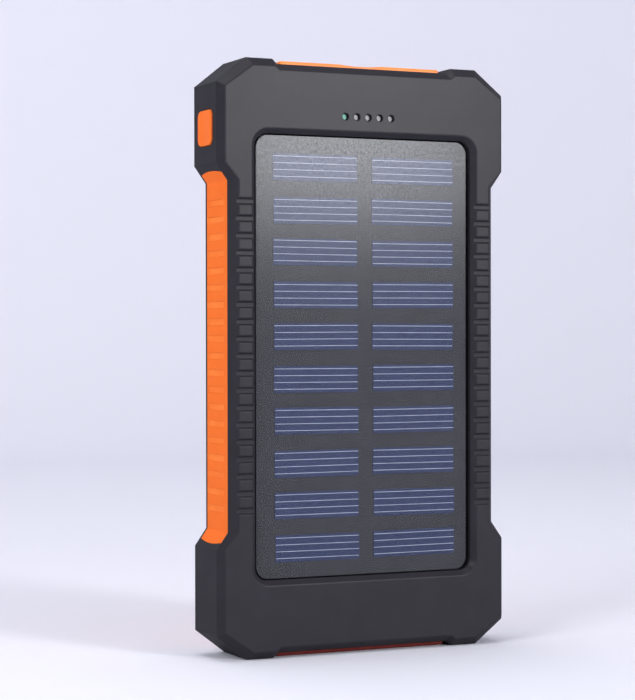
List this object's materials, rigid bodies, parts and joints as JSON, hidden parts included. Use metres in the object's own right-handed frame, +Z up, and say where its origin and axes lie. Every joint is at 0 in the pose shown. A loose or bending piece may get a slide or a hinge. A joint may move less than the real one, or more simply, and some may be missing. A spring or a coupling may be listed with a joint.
{
  "type": "solar phone charger",
  "caption": "Rugged flat power bank with a solar panel on its front, charge lights, side grips, a power button and a rubber flap over its charging ports.",
  "frame": {"origin": "on the surface it stands on, under the middle of its width and thickness", "axes": "+X to the right as seen from the solar panel's side, -Y out of the solar panel, +Z up along its length"},
  "size_m": [0.0768, 0.017, 0.142],
  "materials": {
    "shell_black": "fine matt soft-touch",
    "orange_plastic": "satin moulded",
    "orange_rubber": "matt elastomer",
    "seal_rubber": "matt",
    "screw_steel": "dark zinc",
    "panel_film": "satin clear film",
    "solar_cell": "blue crystalline cell",
    "panel_backing": "satin laminate",
    "adhesive": "foam tape",
    "wire_insulation": "satin",
    "clear_plastic": "clear moulded",
    "led_package": "phosphor and white resin",
    "component_black": "moulded resin",
    "circuit_board": "solder mask",
    "port_steel": "nickel plated",
    "port_plastic": "moulded nylon",
    "contact_gold": "gold plated",
    "ferrite": "matt pressed ferrite",
    "ceramic": "ceramic",
    "battery_foil": "satin foil pouch",
    "foam": "open foam",
    "reflector_white": "white moulded"
  },
  "bodies": {
    "case": {"front_shell": "shell_black", "rear_frame": "shell_black", "rear_cover": "orange_plastic", "case_seal": "seal_rubber", "case_screws": "screw_steel", "side_grip_right": "orange_rubber", "side_grip_left": "orange_rubber", "bottom_strip": "orange_rubber", "panel_film": "panel_film", "solar_cells": "solar_cell", "solar_board": "panel_backing", "panel_adhesive": "adhesive", "solar_leads": "wire_insulation", "indicator_light_guide": "clear_plastic", "indicator_leds": "led_package", "switch_body": "component_black", "main_pcb": "circuit_board", "board_screws": "screw_steel", "usb_a_port_left": "port_steel", "usb_a_port_right": "port_steel", "usb_a_insulators": "port_plastic", "usb_a_contacts": "contact_gold", "micro_usb_port": "port_steel", "micro_usb_tongue": "port_plastic", "power_inductors": "ferrite", "control_chips": "component_black", "capacitors": "ceramic", "battery_cell": "battery_foil", "battery_tabs": "port_steel", "protection_board": "circuit_board", "battery_pads": "foam", "battery_leads": "wire_insulation", "lamp_board": "circuit_board", "lamp_leds": "led_package", "lamp_reflector": "reflector_white", "lamp_lens": "clear_plastic", "lamp_contact_pins": "contact_gold"},
    "power_button": {"power_button": "orange_plastic"},
    "switch_plunger": {"switch_plunger": "component_black"},
    "port_cover": {"port_cover": "orange_rubber"}
  },
  "joints": [
    {"name": "power_button_press", "type": "slide", "parent": "case", "child": "power_button", "axis": [1, 0, 0], "range_m": [0, 0.00035], "stiffness_N_per_m": 4500},
    {"name": "switch_plunger_press", "type": "slide", "parent": "case", "child": "switch_plunger", "axis": [1, 0, 0], "range_m": [0, 0.00035]},
    {"name": "port_cover_hinge", "type": "hinge", "parent": "case", "child": "port_cover", "pos_m": [0, 0.0041, 0.14], "axis": [-1, 0, 0], "range_deg": [0, 110]}
  ],
  "couplings": [
    {"joint": "switch_plunger_press", "follows": "power_button_press", "ratio": 1}
  ]
}
